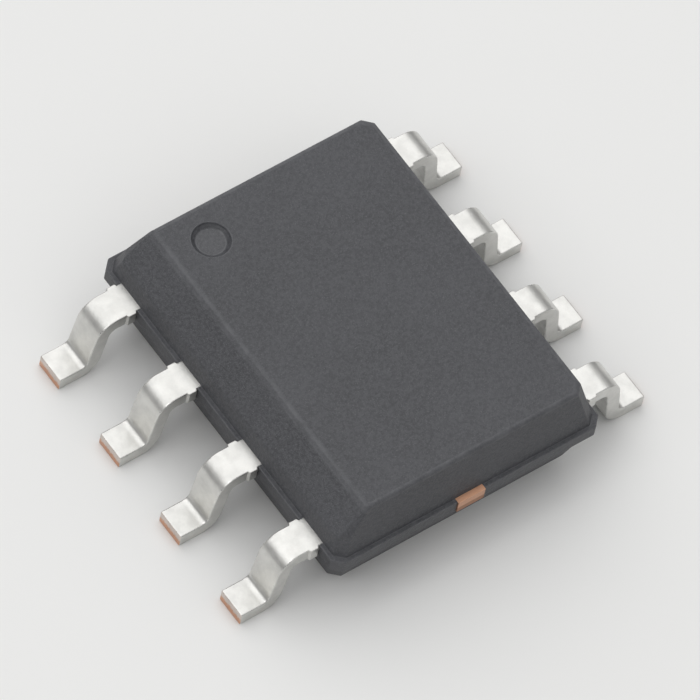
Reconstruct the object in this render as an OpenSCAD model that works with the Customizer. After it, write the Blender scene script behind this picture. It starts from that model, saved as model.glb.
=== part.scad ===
// Eight-lead small-outline integrated circuit, narrow body, gull-wing leads.
// Millimetres. The seating plane of the feet is z = 0 and the body is centred on the origin.
// X runs across the two rows of leads, Y along them. Lead 1 is at -X, +Y, and the
// numbers run down the -X row (1 to 4) and back up the +X row (5 to 8).

/* [Moulded body] */
// Length of the body along the lead rows, at the parting line
body_l = 4.9; // [4.6:0.05:6]
// Width of the body across the lead rows, at the parting line
body_w = 3.9; // [3.6:0.05:7.5]
// Height of the body from its underside to its top face
body_h = 1.45; // [1.35:0.05:2.3]
// Gap between the seating plane and the underside of the body
standoff = 0.15; // [0.05:0.01:0.3]
// Lean of every side wall from upright, so that both mould halves let go
draft = 15; // [5:1:16]
// Size of the cut across each upright corner, along each wall
corner_cut = 0.12; // [0.05:0.01:0.3]
// Radius of the edges round the top face and the underside
edge_r = 0.06; // [0.03:0.01:0.12]
// Bevel along the top edge beside leads 1 to 4, which marks the numbering side
bevel = 0.28; // [0.15:0.01:0.5]
// Thin ledge left where the mould halves close on the lead frame
ledge = 0.03; // [0.01:0.005:0.05]
// How far the ledge lies below the faces of the lead frame
ledge_gap = 0.005; // [0.002:0.001:0.01]

/* [Marks in the moulding] */
// Diameter of the round index recess near lead 1
dimple_d = 0.5; // [0.3:0.05:0.6]
// Depth of the index recess
dimple_depth = 0.06; // [0.02:0.01:0.1]
// Distance of the recess from the body side beside leads 1 to 4
dimple_from_side = 1.03; // [0.95:0.01:1.4]
// Distance of the recess from the end of the body
dimple_from_end = 0.67; // [0.55:0.01:1.2]
// Diameter of the ejector pin mark under the body
ejector_d = 1; // [0.5:0.05:1.5]
// Depth of the ejector pin mark
ejector_depth = 0.03; // [0.01:0.01:0.05]
// Width of the broken-off gate on one end of the body
gate_w = 0.6; // [0.3:0.05:0.8]
// Height of the broken-off gate
gate_h = 0.18; // [0.1:0.01:0.25]
// How far the gate stands out of the end wall at the parting line
gate_proud = 0.04; // [0.02:0.005:0.05]
// Distance of the gate from the middle of the end wall
gate_off = 0.85; // [0.7:0.05:1.1]

/* [Leads] */
// Distance between neighbouring leads
pitch = 1.27; // [1.2:0.01:1.35]
// Width of a lead
lead_w = 0.42; // [0.3:0.01:0.5]
// Thickness of the lead frame sheet
lead_t = 0.2; // [0.15:0.01:0.25]
// Height of the underside of the lead frame above the underside of the body
frame_rise = 0.625; // [0.5:0.005:0.65]
// Distance from the body side to the tips of the feet
lead_reach = 1.05; // [1:0.01:1.6]
// Length of the flat sole of each foot
sole_l = 0.3; // [0.2:0.01:0.4]
// Inside radius of the two bends of each lead
bend_r = 0.1; // [0.07:0.01:0.15]
// Lean of the run between the bends, outwards from upright
run_lean = 8; // [2:1:15]
// Distance from the body side to the stub of the cut dam bar
dam_from = 0.05; // [0.04:0.005:0.08]
// Width of the dam bar
dam_w = 0.12; // [0.08:0.01:0.14]
// How far each dam bar stub stands out of the side of its lead
dam_proud = 0.03; // [0.01:0.005:0.06]

/* [Lead frame inside the body] */
// Width of the die pad across the lead rows
pad_w = 2.3; // [2:0.05:2.5]
// How far the die pad is pressed down below the leads
downset = 0.2; // [0.1:0.01:0.25]
// Gap between the die pad and the tips of the fingers
pad_gap = 0.2; // [0.15:0.01:0.25]
// Width of the widened tip of a middle finger
head_w = 0.62; // [0.5:0.01:0.7]
// Length of the widened tip of a middle finger
head_l = 0.22; // [0.15:0.01:0.28]
// How far a corner finger reaches in past the side of the die pad
corner_in = 0.55; // [0.45:0.01:0.6]
// Width of the toe that turns from a corner finger towards the die pad
toe_w = 0.4; // [0.3:0.01:0.45]
// Length of that toe
toe_l = 0.25; // [0.15:0.01:0.28]
// Diameter of the mould lock hole in a corner finger
lock_d = 0.2; // [0.1:0.01:0.22]
// Distance of the lock hole from the body side
lock_in = 0.4; // [0.3:0.01:0.5]
// Width of the two tie bars that held the die pad in the strip
tie_w = 0.4; // [0.25:0.01:0.5]
// How far the cut ends of the tie bars stand out past the parting line
tie_proud = 0.05; // [0.05:0.005:0.08]

/* [Die and bonds] */
// Free edge of the die pad round the die
die_margin = 0.35; // [0.2:0.01:0.45]
// Thickness of the die
die_t = 0.28; // [0.15:0.01:0.3]
// Thickness of the adhesive under the die
attach_t = 0.03; // [0.02:0.005:0.04]
// How far the adhesive creeps out past the edges of the die
attach_out = 0.05; // [0.02:0.01:0.1]
// Diameter of the bond wire
wire_d = 0.03; // [0.02:0.005:0.04]
// Diameter of the ball that welds a wire to the die
ball_d = 0.08; // [0.06:0.005:0.1]
// Height of the ball
ball_h = 0.02; // [0.015:0.005:0.03]
// Height of the wire loops above the die
loop_h = 0.17; // [0.1:0.01:0.2]
// Distance of the bond balls from the sides of the die
bond_in = 0.12; // [0.1:0.01:0.2]
// Distance between the bond balls of the middle leads
bond_pitch = 0.6; // [0.4:0.05:0.8]
// Length of the flattened stitch on the finger
stitch_l = 0.07; // [0.05:0.01:0.08]
// Distance from the edge of the finger to the end of the stitch
stitch_in = 0.16; // [0.12:0.01:0.2]

/* [Hidden] */

leads_per_row = 4;
lead_count = 2 * leads_per_row;
// Straight steps that round each moulded edge, and each bend of a lead
edge_steps = 3;
bend_steps = 8;
// Overshoot of a cutter past the surface that it opens
over = 0.1;
round_fn = 48;

// Heights above the seating plane
body_z = standoff;
top_z = standoff + body_h;
frame_z = body_z + frame_rise;
frame_top_z = frame_z + lead_t;
pad_z = frame_z - downset;
attach_z = pad_z + lead_t;
die_z = attach_z + attach_t;
die_top_z = die_z + die_t;

// The mould parts in the middle of the sheet of the lead frame
parting_z = frame_z + lead_t / 2;
upper_h = top_z - parting_z;
lower_h = parting_z - body_z;

// Half sizes of the body at the parting line and at the top face
half_w = body_w / 2;
half_l = body_l / 2;
top_half_w = half_w - upper_h * tan(draft);
corner_turn = 45;
corner_half = (half_w + half_l - corner_cut) * cos(corner_turn);
// Length of the bars that meet in the body, more than the body's diagonal
bar_l = 2 * (body_l + body_w);

// Gull wing, along the middle of the sheet: each bend turns by bend_turn
bend_turn = 90 - run_lean;
bend_mid = bend_r + lead_t / 2;
run_l = (frame_z - 2 * bend_mid * (1 - cos(bend_turn))) / sin(bend_turn);
wing_w = 2 * bend_mid * sin(bend_turn) + run_l * cos(bend_turn);
shoulder_l = lead_reach - wing_w - sole_l;
shoulder_x = half_w + shoulder_l;
tip_x = half_w + lead_reach;
heel_x = tip_x - sole_l;

// The die pad fits between the toes of the corner fingers
corner_y = (leads_per_row - 1) / 2 * pitch;
middle_y = pitch / 2;
toe_y = corner_y - lead_w / 2 - toe_l;
pad_l = 2 * (toe_y - pad_gap);
middle_tip_x = pad_w / 2 + pad_gap;
corner_tip_x = pad_w / 2 - corner_in;
die_w = pad_w - 2 * die_margin;
die_l = pad_l - 2 * die_margin;
// Slope of a tie bar where it climbs from the pad to the level of the leads
tie_slope = 45;

// Sides of the bond wire's section, and rings along its loop
wire_sides = 8;
loop_rings = 9;
wire_flat = cos(180 / wire_sides);
// The loop's upper control points stand above its peak by this factor, and the second one
// is this share of the way along the wire
loop_pull = 4 / 3;
loop_crown = 0.45;
// Thickness and width of the stitch, as shares of the wire's
stitch_squash = 0.4;
stitch_spread = 1.7;

// Rounded edge of a mould half. Its wall stands at half on the parting plane and leans in by
// lean, up to the height rise.
function edge(half, lean, rise) =
  let (centre = half - (rise - edge_r) * tan(lean) - edge_r / cos(lean))
  [for (k = [0:edge_steps])
    let (a = lean + (90 - lean) * k / edge_steps)
    [centre + edge_r * cos(a), rise - edge_r + edge_r * sin(a)]];

function reversed(points) = [for (k = [len(points) - 1:-1:0]) points[k]];

// A bar along Y, turned about Z. Its walls lean in both ways from the parting line.
module drafted_bar(turn, half, lean) {
  lower = [for (p = edge(half, lean, lower_h)) [p[0], parting_z - p[1]]];
  upper = [for (p = edge(half, lean, upper_h)) [p[0], parting_z + p[1]]];
  right = concat(reversed(lower), [[half, parting_z]], upper);
  left = [for (p = reversed(right)) [-p[0], p[1]]];
  rotate([90, 0, turn])
    linear_extrude(bar_l, center = true)
      polygon(concat(right, left));
}

// The corner bars lean more, so that the corner cuts keep their width up the walls
module drafted_block() {
  corner_lean = atan(tan(draft) / cos(corner_turn));
  intersection() {
    drafted_bar(0, half_w, draft);
    drafted_bar(90, half_l, draft);
    drafted_bar(corner_turn, corner_half, corner_lean);
    drafted_bar(-corner_turn, corner_half, corner_lean);
  }
}

// The ledge fills the sheet of the lead frame, between the leads
module parting_ledge() {
  x = half_w + ledge;
  y = half_l + ledge;
  c = corner_cut;
  translate([0, 0, frame_z + ledge_gap])
    linear_extrude(lead_t - 2 * ledge_gap)
      polygon([
        [x, y - c], [x - c, y], [c - x, y], [-x, y - c],
        [-x, c - y], [c - x, -y], [x - c, -y], [x, c - y]
      ]);
}

// Everything above the 45 degree plane of the bevel
module bevel_cutter() {
  start = bevel - top_half_w;
  translate([0, 0, top_z])
    rotate([90, 0, 0])
      linear_extrude(bar_l, center = true)
        polygon([[start + over, over], [start - body_h, over], [start - body_h, -body_h]]);
}

// Round recess near lead 1. Its wall slopes at 45 degrees.
module index_recess() {
  floor_d = dimple_d - 2 * dimple_depth;
  translate([dimple_from_side - half_w, half_l - dimple_from_end, top_z - dimple_depth])
    cylinder(h = dimple_d, d1 = floor_d, d2 = floor_d + 2 * dimple_d, $fn = round_fn);
}

module ejector_mark() {
  translate([0, 0, body_z - over])
    cylinder(h = ejector_depth + over, d = ejector_d, $fn = round_fn);
}

// Stub of resin where the gate broke off, under the parting line. It starts well inside the
// leaning end wall.
module gate_stub() {
  translate([gate_off - gate_w / 2, half_l - gate_h, parting_z - gate_h])
    cube([gate_w, gate_h + gate_proud, gate_h]);
}

module moulding() {
  difference() {
    union() {
      drafted_block();
      parting_ledge();
      gate_stub();
    }
    bevel_cutter();
    index_recess();
    ejector_mark();
  }
}

// The resin fills all the space round what it holds
module moulded_body() {
  color([0.23, 0.23, 0.24])
    difference() {
      moulding();
      die_pad();
      die_attach();
      die();
      for (i = [1:lead_count]) {
        lead(i);
        bond_wire(i);
      }
    }
}

// Points along an arc about a centre, without its first point
function arc(centre, r, from, to) =
  [for (k = [1:bend_steps])
    let (a = from + (to - from) * k / bend_steps)
    centre + r * [cos(a), sin(a)]];

// Side view of a lead from the middle of the body to the tip of its foot: flat finger and
// shoulder, bend down, leaning run, bend out and flat foot, all of one thickness
module bent_sheet() {
  outer_r = bend_r + lead_t;
  upper = [shoulder_x, frame_z - bend_r];
  lower = [heel_x, outer_r];
  rotate([90, 0, 0])
    linear_extrude(2 * pitch, center = true)
      polygon(concat(
        [[0, frame_z], [0, frame_top_z], [shoulder_x, frame_top_z]],
        arc(upper, outer_r, 90, run_lean),
        reversed(arc(lower, bend_r, 270, 180 + run_lean)),
        [[heel_x, lead_t], [tip_x, lead_t], [tip_x, 0], [heel_x, 0]],
        arc(lower, outer_r, 270, 180 + run_lean),
        reversed(arc(upper, bend_r, 90, run_lean)),
        [[shoulder_x, frame_z]]
      ));
}

// Plan view of a lead from the tip of its finger at x = from, with the stubs left where the
// dam bar was cut out
module lead_plan(from) {
  dam_side = lead_w / 2 + dam_proud;
  translate([from, -lead_w / 2])
    square([tip_x + over - from, lead_w]);
  translate([half_w + dam_from, -dam_side])
    square([dam_w, 2 * dam_side]);
}

// A middle lead's finger is widened at its tip
module middle_plan() {
  lead_plan(middle_tip_x);
  translate([middle_tip_x, -head_w / 2])
    square([head_l, head_w]);
}

// A corner lead's finger has a toe towards the die pad
module corner_plan() {
  lead_plan(corner_tip_x);
  translate([corner_tip_x, -lead_w / 2 - toe_l])
    square([toe_w, lead_w / 2 + toe_l]);
}

module lock_hole() {
  translate([half_w - lock_in, 0, frame_z - over])
    cylinder(h = lead_t + 2 * over, d = lock_d, $fn = round_fn);
}

function on_left(i) = i <= leads_per_row;
function is_corner(i) = i == 1 || i == leads_per_row || i == leads_per_row + 1 || i == lead_count;
function is_upper(i) = i <= leads_per_row / 2 || i > lead_count - leads_per_row / 2;

// Puts what is drawn for the +X, +Y quarter into the quarter of lead i
module in_quarter(i) {
  mirror([on_left(i) ? 1 : 0, 0, 0])
    mirror([0, is_upper(i) ? 0 : 1, 0])
      children();
}

module lead(i) {
  color([0.8, 0.8, 0.78])
    in_quarter(i)
      translate([0, is_corner(i) ? corner_y : middle_y, 0])
        difference() {
          intersection() {
            bent_sheet();
            translate([0, 0, -over])
              linear_extrude(top_z)
                if (is_corner(i))
                  corner_plan();
                else
                  middle_plan();
          }
          if (is_corner(i))
            lock_hole();
        }
}

// Side view of a tie bar: off the pad, up to the level of the leads and out of the body
module tie_bar() {
  start = pad_l / 2 - die_margin / 2;
  rise_y = pad_l / 2 + lead_t / 2;
  level_y = rise_y + downset / tan(tie_slope);
  mitre = lead_t * tan(tie_slope / 2);
  end_y = half_l + tie_proud;
  rotate([90, 0, 90])
    linear_extrude(tie_w, center = true)
      polygon([
        [start, pad_z], [rise_y, pad_z], [level_y, frame_z], [end_y, frame_z],
        [end_y, frame_top_z], [level_y - mitre, frame_top_z],
        [rise_y - mitre, attach_z], [start, attach_z]
      ]);
}

module die_pad() {
  color([0.78, 0.5, 0.36]) {
    translate([-pad_w / 2, -pad_l / 2, pad_z])
      cube([pad_w, pad_l, lead_t]);
    tie_bar();
    mirror([0, 1, 0])
      tie_bar();
  }
}

module die_attach() {
  w = die_w + 2 * attach_out;
  l = die_l + 2 * attach_out;
  color([0.66, 0.66, 0.64])
    translate([-w / 2, -l / 2, attach_z])
      cube([w, l, attach_t]);
}

module die() {
  color([0.36, 0.4, 0.46])
    translate([-die_w / 2, -die_l / 2, die_z])
      cube([die_w, die_l, die_t]);
}

// Point and slope of the loop's cubic curve at t. It leaves the ball straight up, and
// comes down on the finger.
function curve(p, t) =
  pow(1 - t, 3) * p[0] + 3 * pow(1 - t, 2) * t * p[1] + 3 * (1 - t) * t * t * p[2] + t * t * t * p[3];
function slope(p, t) =
  let (d = pow(1 - t, 2) * (p[1] - p[0]) + 2 * (1 - t) * t * (p[2] - p[1]) + t * t * (p[3] - p[2]))
  atan2(d[1], d[0]);

// Rings of one wire in its own upright plane: [distance, height, slope, half width, half depth]
function wire_rings(span) =
  let (
    r = wire_d / 2,
    ball_r = ball_d / 2,
    neck_z = die_top_z + ball_h + (ball_r - r) / 2,
    heel = span - stitch_l,
    peak = die_top_z + loop_h,
    pull_z = neck_z + (peak - neck_z) * loop_pull,
    p = [[0, neck_z], [0, pull_z], [heel * loop_crown, pull_z], [heel, frame_top_z + r * wire_flat]],
    bend = slope(p, 1) / 2,
    squashed = r * stitch_squash
  )
  concat(
    [
      [0, die_top_z, 90, ball_r, ball_r],
      [0, die_top_z + ball_h, 90, ball_r, ball_r],
      [0, neck_z, 90, r, r]
    ],
    [for (k = [1:loop_rings - 1])
      let (c = curve(p, k / loop_rings))
      [c[0], c[1], slope(p, k / loop_rings), r, r]],
    [
      [heel, frame_top_z + r * wire_flat, bend, r, r / cos(bend)],
      [span, frame_top_z + squashed * wire_flat, 0, r * stitch_spread, squashed]
    ]
  );

// Closed tube through the rings, from the point start on the die towards the point end
module wire(start, end) {
  ahead = (end - start) / norm(end - start);
  aside = [-ahead[1], ahead[0]];
  rings = wire_rings(norm(end - start));
  n = wire_sides;
  last = len(rings) - 1;
  points = [for (g = rings) for (k = [0:n - 1])
    let (
      a = 360 * (k + 0.5) / n,
      u = g[3] * cos(a),
      v = g[4] * sin(a),
      s = g[0] - v * sin(g[2]),
      at = start + ahead * s + aside * u
    )
    [at[0], at[1], g[1] + v * cos(g[2])]];
  sides = [for (i = [0:last - 1]) for (k = [0:n - 1])
    let (m = (k + 1) % n)
    for (f = [[i * n + k, i * n + n + m, i * n + m], [i * n + k, i * n + n + k, i * n + n + m]]) f];
  cap_a = [for (k = [0:n - 1]) k];
  cap_b = [for (k = [n - 1:-1:0]) last * n + k];
  polyhedron(points, concat(sides, [cap_a, cap_b]));
}

module bond_wire(i) {
  corner = is_corner(i);
  ball = corner
    ? [die_w / 2 - bond_in * 2, die_l / 2 - bond_in]
    : [die_w / 2 - bond_in, bond_pitch / 2];
  stitch = corner
    ? [corner_tip_x + toe_w / 2, toe_y + stitch_in]
    : [middle_tip_x + stitch_in, middle_y];
  color([0.9, 0.72, 0.3])
    in_quarter(i)
      wire(ball, stitch);
}

moulded_body();
die_pad();
die_attach();
die();
lead(1);  // lead_1
lead(2);  // lead_2
lead(3);  // lead_3
lead(4);  // lead_4
lead(5);  // lead_5
lead(6);  // lead_6
lead(7);  // lead_7
lead(8);  // lead_8
bond_wire(1);  // bond_wire_1
bond_wire(2);  // bond_wire_2
bond_wire(3);  // bond_wire_3
bond_wire(4);  // bond_wire_4
bond_wire(5);  // bond_wire_5
bond_wire(6);  // bond_wire_6
bond_wire(7);  // bond_wire_7
bond_wire(8);  // bond_wire_8
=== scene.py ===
"""Looks of an eight-lead small-outline chip, laid out as a Blender add-on.

X runs across the two rows of leads, Y along them and Z up from the seating plane.
Lead 1 is at -X, +Y. Lengths are in metres, but for the millimetres that the defaults of the
sizes are written in.
"""

import math

import bpy
import numpy as np
from mathutils import Matrix, Vector


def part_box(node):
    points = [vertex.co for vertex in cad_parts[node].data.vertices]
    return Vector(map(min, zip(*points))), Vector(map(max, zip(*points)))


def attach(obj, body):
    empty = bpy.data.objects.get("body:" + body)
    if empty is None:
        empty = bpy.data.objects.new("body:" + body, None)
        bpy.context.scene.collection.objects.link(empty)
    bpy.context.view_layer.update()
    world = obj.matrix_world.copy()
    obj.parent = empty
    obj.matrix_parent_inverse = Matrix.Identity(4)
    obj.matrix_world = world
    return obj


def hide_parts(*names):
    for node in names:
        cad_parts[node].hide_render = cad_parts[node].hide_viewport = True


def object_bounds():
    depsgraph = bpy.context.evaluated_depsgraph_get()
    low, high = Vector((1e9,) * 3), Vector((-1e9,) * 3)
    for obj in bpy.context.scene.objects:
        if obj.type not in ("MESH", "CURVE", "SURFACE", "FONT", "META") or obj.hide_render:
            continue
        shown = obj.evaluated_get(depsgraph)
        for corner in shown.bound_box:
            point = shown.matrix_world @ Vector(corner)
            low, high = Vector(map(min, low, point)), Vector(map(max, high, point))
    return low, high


bl_info = {
    "name": "Small-outline chip",
    "version": (1, 0, 0),
    "blender": (4, 5, 0),
    "location": "3D View > Sidebar > Chip",
    "description": "Dresses the chip's epoxy body, leads and inner parts, and sets the stage",
    "category": "Object",
}

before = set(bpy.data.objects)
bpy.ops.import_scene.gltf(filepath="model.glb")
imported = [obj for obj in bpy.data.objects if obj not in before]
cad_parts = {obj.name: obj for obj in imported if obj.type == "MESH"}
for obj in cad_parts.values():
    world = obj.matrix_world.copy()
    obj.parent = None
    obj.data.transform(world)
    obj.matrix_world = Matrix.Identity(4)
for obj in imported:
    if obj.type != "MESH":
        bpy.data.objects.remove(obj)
CAD_BOX = [list(corner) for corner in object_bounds()]

LEAD_COUNT = 8
IN_ROW = LEAD_COUNT // 2
MM = 0.001

# Millimetres: the ledge round the body, and the corners of the solids' boxes
LEDGE = 0.03
BODY_LOW, BODY_HIGH = (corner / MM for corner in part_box("moulded_body"))
LEAD_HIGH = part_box("lead_5")[1] / MM
DIE_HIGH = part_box("die")[1] / MM
HALF_W = BODY_HIGH.x - LEDGE
HALF_L = -BODY_LOW.y - LEDGE


# ---------------------------------------------------------------- sizes and colours


def length(name, description, mm):
    """A length property whose default is given in millimetres."""
    return bpy.props.FloatProperty(
        name=name,
        description=description,
        default=mm * MM,
        min=0.0,
        precision=6,
        unit="LENGTH",
    )


def angle(name, description, degrees):
    """An angle property whose default is given in degrees."""
    return bpy.props.FloatProperty(
        name=name,
        description=description,
        default=math.radians(degrees),
        unit="ROTATION",
    )


def colour(name, description, rgb):
    """A colour property in linear light."""
    return bpy.props.FloatVectorProperty(
        name=name,
        description=description,
        default=rgb,
        size=3,
        min=0.0,
        max=1.0,
        subtype="COLOR",
    )


def factor(name, description, value):
    """A number from 0 to 1."""
    return bpy.props.FloatProperty(
        name=name,
        description=description,
        default=value,
        min=0.0,
        max=1.0,
        subtype="FACTOR",
    )


class ChipBodySizes(bpy.types.PropertyGroup):
    """Sizes of the moulded body."""

    half_w: length("Half width", "Half the width across the leads, at the parting line", HALF_W)
    half_l: length("Half length", "Half the length along the rows, at the parting line", HALF_L)
    bottom_z: length("Underside", "Height of the underside above the seating plane", BODY_LOW.z)
    top_z: length("Top", "Height of the top face above the seating plane", BODY_HIGH.z)
    parting_z: length("Parting line", "Height where the mould halves meet", 0.875)
    draft: angle("Draft", "Lean of the side walls from upright", 15.0)
    corner_cut: length("Corner cut", "Cut across each upright corner, along each wall", 0.12)
    corner_r: length("Corner radius", "Radius of the two edges of a corner cut", 0.03)
    edge_r: length("Edge radius", "Radius round the top face and the underside", 0.06)
    bevel: length("Bevel", "Width of the bevel beside leads 1 to 4, seen from above", 0.28)
    bevel_r: length("Bevel edge radius", "Radius of the two edges of the bevel", 0.035)
    ledge: length("Ledge", "How far the ledge stands out at the parting line", LEDGE)
    ledge_half: length("Half ledge", "Half the height of the ledge", 0.095)
    ledge_r: length("Ledge radius", "Radius of the edges of the ledge", 0.008)
    recess_x: length("Recess from side", "Distance of the index recess from the body side", 1.03)
    recess_y: length("Recess from end", "Distance of the index recess from the end", 0.67)
    recess_r: length("Recess radius", "Radius of the index recess", 0.25)
    recess_depth: length("Recess depth", "Depth of the index recess", 0.06)
    ejector_r: length("Ejector radius", "Radius of the ejector pin mark underneath", 0.5)
    ejector_depth: length("Ejector depth", "Depth of the ejector pin mark", 0.03)
    gate_off: length("Gate offset", "Distance of the gate from the middle of the end", 0.85)
    gate_w: length("Gate width", "Width of the broken-off gate", 0.6)
    gate_h: length("Gate height", "Height of the broken-off gate", 0.18)
    gate_proud: length("Gate stub", "How far the gate stands out of the end wall", 0.04)


class ChipLeadSizes(bpy.types.PropertyGroup):
    """Sizes of the leads."""

    pitch: length("Pitch", "Distance between neighbouring leads", 1.27)
    width: length("Width", "Width of a lead", 0.42)
    sheet: length("Sheet", "Thickness of the lead frame sheet", 0.2)
    sheet_z: length("Sheet height", "Height of the middle of the sheet at the body", 0.875)
    bend_r: length("Bend radius", "Inside radius of the two bends", 0.1)
    run_lean: angle("Run lean", "Lean of the run between the bends", 8.0)
    sole: length("Sole", "Length of the flat sole", 0.3)
    tip_x: length("Tip", "Distance of the tips of the feet from the middle", LEAD_HIGH.x)
    body_side: length("Body side", "Distance of the body side from the middle", HALF_W)
    root_x: length("Root", "Where the tin starts, just inside the body's wall", HALF_W - 0.04)
    punch_r: length("Punched edge", "Radius of the rounded edges of the sheet", 0.016)
    dam_from: length("Dam stub start", "Distance from the body side to the stub", 0.05)
    dam_w: length("Dam stub width", "Width of the stub of the cut dam bar", 0.12)
    dam_proud: length("Dam stub", "How far a stub stands out of the lead", 0.03)
    middle_tip: length("Middle finger", "Where a middle finger ends inside the body", 1.35)
    corner_tip: length("Corner finger", "Where a corner finger ends inside the body", 0.6)
    head_w: length("Head width", "Width of the widened tip of a middle finger", 0.62)
    head_l: length("Head length", "Length of the widened tip of a middle finger", 0.22)
    toe_w: length("Toe width", "Width of the toe of a corner finger", 0.4)
    toe_l: length("Toe length", "Length of the toe of a corner finger", 0.25)
    lock_in: length("Lock hole", "Distance of a lock hole's centre from the body side", 0.4)
    lock_r: length("Lock hole radius", "Radius of a lock hole", 0.1)
    silver_x: length("Silver window", "Half width of the window plated with silver", 1.6)
    silver_y: length("Silver window length", "Half length of the plated window", 1.7)


class ChipWireSizes(bpy.types.PropertyGroup):
    """Sizes of the die and the bond wires."""

    die_half_w: length("Half die width", "Half the width of the die across the leads", DIE_HIGH.x)
    die_half_l: length("Half die length", "Half the length of the die", DIE_HIGH.y)
    die_top: length("Die face", "Height of the face of the die", DIE_HIGH.z)
    finger_top: length("Finger face", "Height of the faces of the fingers", LEAD_HIGH.z)
    wire_r: length("Wire radius", "Radius of the wire", 0.015)
    ball_r: length("Ball radius", "Radius of the ball that welds a wire to the die", 0.04)
    ball_h: length("Ball height", "Height of the squashed ball", 0.02)
    loop_h: length("Loop height", "Height of the loops above the die", 0.17)
    bond_in: length("Ball inset", "Distance of the balls from the sides of the die", 0.12)
    bond_pitch: length("Ball pitch", "Distance between the balls of the middle leads", 0.6)
    stitch_l: length("Stitch length", "Length of the flattened stitch", 0.07)
    stitch_in: length("Stitch inset", "Distance from the finger's edge to the stitch's end", 0.16)
    pad_half: length("Half bond pad", "Half the side of an aluminium bond pad", 0.055)


class ChipFinishes(bpy.types.PropertyGroup):
    """Colours and roughness of the finishes."""

    resin: colour("Resin", "Moulding compound", (0.049, 0.05, 0.056))
    # Light resin: compound rubbed at the edges, and also the colour of the painted highlight
    # along the bevel's top edge
    resin_light: colour("Light resin", "Compound rubbed at the edges", (0.107, 0.109, 0.118))
    resin_rough: factor("Resin roughness", "Roughness of the moulded faces", 0.5)
    tin: colour("Tin", "Matte tin plating of the leads", (0.71, 0.705, 0.68))
    tin_rough: factor("Tin roughness", "Roughness of the tin plating", 0.34)
    copper: colour("Copper", "Bare copper alloy of the lead frame", (0.66, 0.37, 0.24))
    plating: colour("Silver plating", "Silver on the tips of the fingers", (0.68, 0.67, 0.64))
    silver: colour("Silver paste", "Adhesive filled with silver flakes", (0.45, 0.45, 0.43))
    silicon: colour("Silicon", "Sawn silicon", (0.17, 0.18, 0.2))
    oxide: colour("Oxide", "Glassy layers over the circuits", (0.24, 0.2, 0.34))
    aluminium: colour("Aluminium", "Tracks and bond pads of the die", (0.62, 0.62, 0.6))
    gold: colour("Gold", "Bond wires", (0.95, 0.69, 0.28))


class ChipStageSettings(bpy.types.PropertyGroup):
    """Camera, floor and light."""

    azimuth: angle("Azimuth", "Camera's turn round the chip from the -Y side", -47.4)
    elevation: angle("Elevation", "Camera's height above the horizon", 57.3)
    roll: angle("Roll", "Camera's turn about its own axis", 14.2)
    distance: length("Distance", "From the chip to the camera", 160.0)
    view_w: length("View width", "Width that the camera sees at the chip", 8.4)
    floor: colour("Floor", "Plain floor", (0.86, 0.86, 0.85))
    floor_size: length("Floor size", "Side of the floor", 600.0)
    zenith: factor("Zenith", "Brightness of the world overhead", 0.78)
    horizon: factor("Horizon", "Brightness of the world at the horizon", 0.22)
    backdrop: factor("Backdrop", "Brightness of the world behind the floor", 0.85)
    key_power: factor("Key light", "Power of the key light in watts", 0.13)
    fill_power: factor("Fill light", "Power of the fill light in watts", 0.055)


# ---------------------------------------------------------------- meshes


def rounded_line(corners, spacing):
    """A polyline in a plane with every inner corner rounded.

    Each corner is (u, v, r, steps). The arc of radius r touches both sides at r * tan(turn / 2)
    from the corner, and has one more point on each side, spacing away, so that smooth shading
    stays flat on the straight parts. Returns the points and a mask that is 1 on the arcs.
    """
    points, mask = [np.array([corners[0][:2]])], [np.zeros(1)]
    for before, here, after in zip(corners, corners[1:], corners[2:]):
        p = np.array(here[:2])
        a = np.array(before[:2]) - p
        b = np.array(after[:2]) - p
        a, b = a / np.linalg.norm(a), b / np.linalg.norm(b)
        half = math.acos(max(-1.0, min(1.0, float(a @ b)))) / 2
        reach = here[2] / math.tan(half)
        centre = p + (a + b) / np.linalg.norm(a + b) * here[2] / math.sin(half)
        start, end = p + a * reach - centre, p + b * reach - centre
        t = np.linspace(0.0, 1.0, here[3] + 1)[:, None]
        whole = math.pi - 2 * half
        arc = (np.sin((1 - t) * whole) * start + np.sin(t * whole) * end) / math.sin(whole)
        arc = centre + arc
        points += [arc[:1] + a * spacing, arc, arc[-1:] + b * spacing]
        mask += [np.zeros(1), np.ones(len(arc)), np.zeros(1)]
    points.append(np.array([corners[-1][:2]]))
    mask.append(np.zeros(1))
    return np.concatenate(points), np.concatenate(mask)


def tube_quads(rows, count):
    """Quads between rows of points that close on themselves.

    Quad k * count + i starts at point i of row k.
    """
    k, i = np.meshgrid(np.arange(rows - 1), np.arange(count), indexing="ij")
    j = (i + 1) % count
    quads = np.stack([k * count + i, k * count + j, (k + 1) * count + j, (k + 1) * count + i], -1)
    return quads.reshape(-1, 4).tolist()


def tube(rows, edge):
    """Points, edge mask and faces of a tube with a flat face on both ends."""
    levels, count = rows.shape[:2]
    ends = [list(range(count))[::-1], list(range((levels - 1) * count, levels * count))]
    edge = np.broadcast_to(edge, (levels, count)).reshape(-1)
    return rows.reshape(-1, 3), edge, tube_quads(levels, count) + ends


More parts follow.
